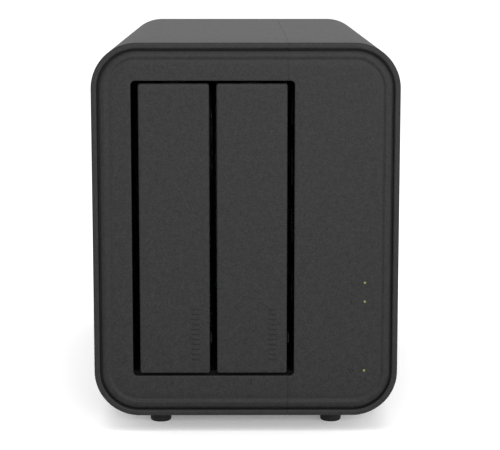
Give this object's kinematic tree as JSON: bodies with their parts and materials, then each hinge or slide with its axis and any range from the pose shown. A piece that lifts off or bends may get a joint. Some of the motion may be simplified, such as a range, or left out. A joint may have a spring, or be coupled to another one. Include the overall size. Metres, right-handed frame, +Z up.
{
  "type": "network attached storage",
  "caption": "Desktop network storage box with a rounded dark case, removable hard drive trays behind a front opening, a rear fan and a column of rear ports.",
  "frame": {"origin": "on the surface it stands on, under the middle of the case", "axes": "+Y from the front to the rear, +X to the right as the user faces the trays, +Z up"},
  "size_m": [0.119, 0.222, 0.153],
  "materials": {
    "shell": "fine spark-eroded texture",
    "dark_plastic": "satin",
    "nylon": "satin",
    "rubber": "matte",
    "zinc_steel": "zinc plated, satin",
    "black_steel": "black powder coat",
    "aluminium": "extruded, satin",
    "cast_aluminium": "as cast, matte",
    "circuit_board": "solder mask, satin",
    "clear_acrylic": "clear, polished",
    "wire": "satin"
  },
  "bodies": {
    "enclosure": {"left_shell": "shell", "right_shell": "shell", "rear_panel": "shell", "foot_front_left": "rubber", "foot_front_right": "rubber", "foot_rear_left": "rubber", "foot_rear_right": "rubber", "fan_grille": "black_steel", "io_shield": "black_steel", "case_screw_1": "black_steel", "case_screw_2": "black_steel", "case_screw_3": "black_steel", "case_screw_4": "black_steel", "fan_screw_1": "black_steel", "fan_screw_2": "black_steel", "fan_screw_3": "black_steel", "fan_screw_4": "black_steel", "lan_port_1": "zinc_steel", "lan_port_2": "zinc_steel", "usb_port_1": "zinc_steel", "usb_port_2": "zinc_steel", "video_port": "zinc_steel", "power_inlet": "nylon", "power_switch": "nylon", "fan_frame": "dark_plastic", "fan_lead": "wire", "fan_header": "nylon", "drive_cage": "black_steel", "guide_rail_bottom": "nylon", "guide_rail_top": "nylon", "backplane_board": "circuit_board", "bay_socket_1": "nylon", "bay_socket_2": "nylon", "board_link": "nylon", "mainboard": "circuit_board", "heat_sink": "aluminium", "memory_socket": "nylon", "memory_module": "circuit_board", "coin_cell": "zinc_steel", "light_board": "circuit_board", "light_guide": "clear_acrylic", "light_lead": "wire", "light_header": "nylon"},
    "tray_1": {"tray_1_face": "shell", "tray_1_carrier": "nylon", "tray_1_clip_strip": "dark_plastic", "drive_1_casting": "cast_aluminium", "drive_1_lid": "zinc_steel", "drive_1_board": "circuit_board"},
    "latch_1": {"tray_1_latch": "nylon"},
    "tray_2": {"tray_2_face": "shell", "tray_2_carrier": "nylon", "tray_2_clip_strip": "dark_plastic", "drive_2_casting": "cast_aluminium", "drive_2_lid": "zinc_steel", "drive_2_board": "circuit_board"},
    "latch_2": {"tray_2_latch": "nylon"},
    "power_button": {"power_button": "dark_plastic"},
    "fan_rotor": {"fan_rotor": "dark_plastic"}
  },
  "joints": [
    {"name": "tray_1_slide", "type": "slide", "parent": "enclosure", "child": "tray_1", "axis": [0, -1, 0], "range_m": [0, 0.165]},
    {"name": "tray_2_slide", "type": "slide", "parent": "enclosure", "child": "tray_2", "axis": [0, -1, 0], "range_m": [0, 0.165]},
    {"name": "latch_1_press", "type": "hinge", "parent": "tray_1", "child": "latch_1", "pos_m": [-0.0163, -0.0997, 0.0264], "axis": [-1, 0, 0], "range_deg": [0, 6], "stiffness_Nm_per_rad": 0.03},
    {"name": "latch_2_press", "type": "hinge", "parent": "tray_2", "child": "latch_2", "pos_m": [0.01389, -0.0997, 0.0264], "axis": [-1, 0, 0], "range_deg": [0, 6], "stiffness_Nm_per_rad": 0.03},
    {"name": "power_button_press", "type": "slide", "parent": "enclosure", "child": "power_button", "axis": [0, -1, 0], "range_m": [0, 0.0013], "stiffness_N_per_m": 1000},
    {"name": "fan_spin", "type": "hinge", "parent": "enclosure", "child": "fan_rotor", "pos_m": [-0.0145, 0.0919, 0.092], "axis": [0, 1, 0], "continuous": true}
  ]
}
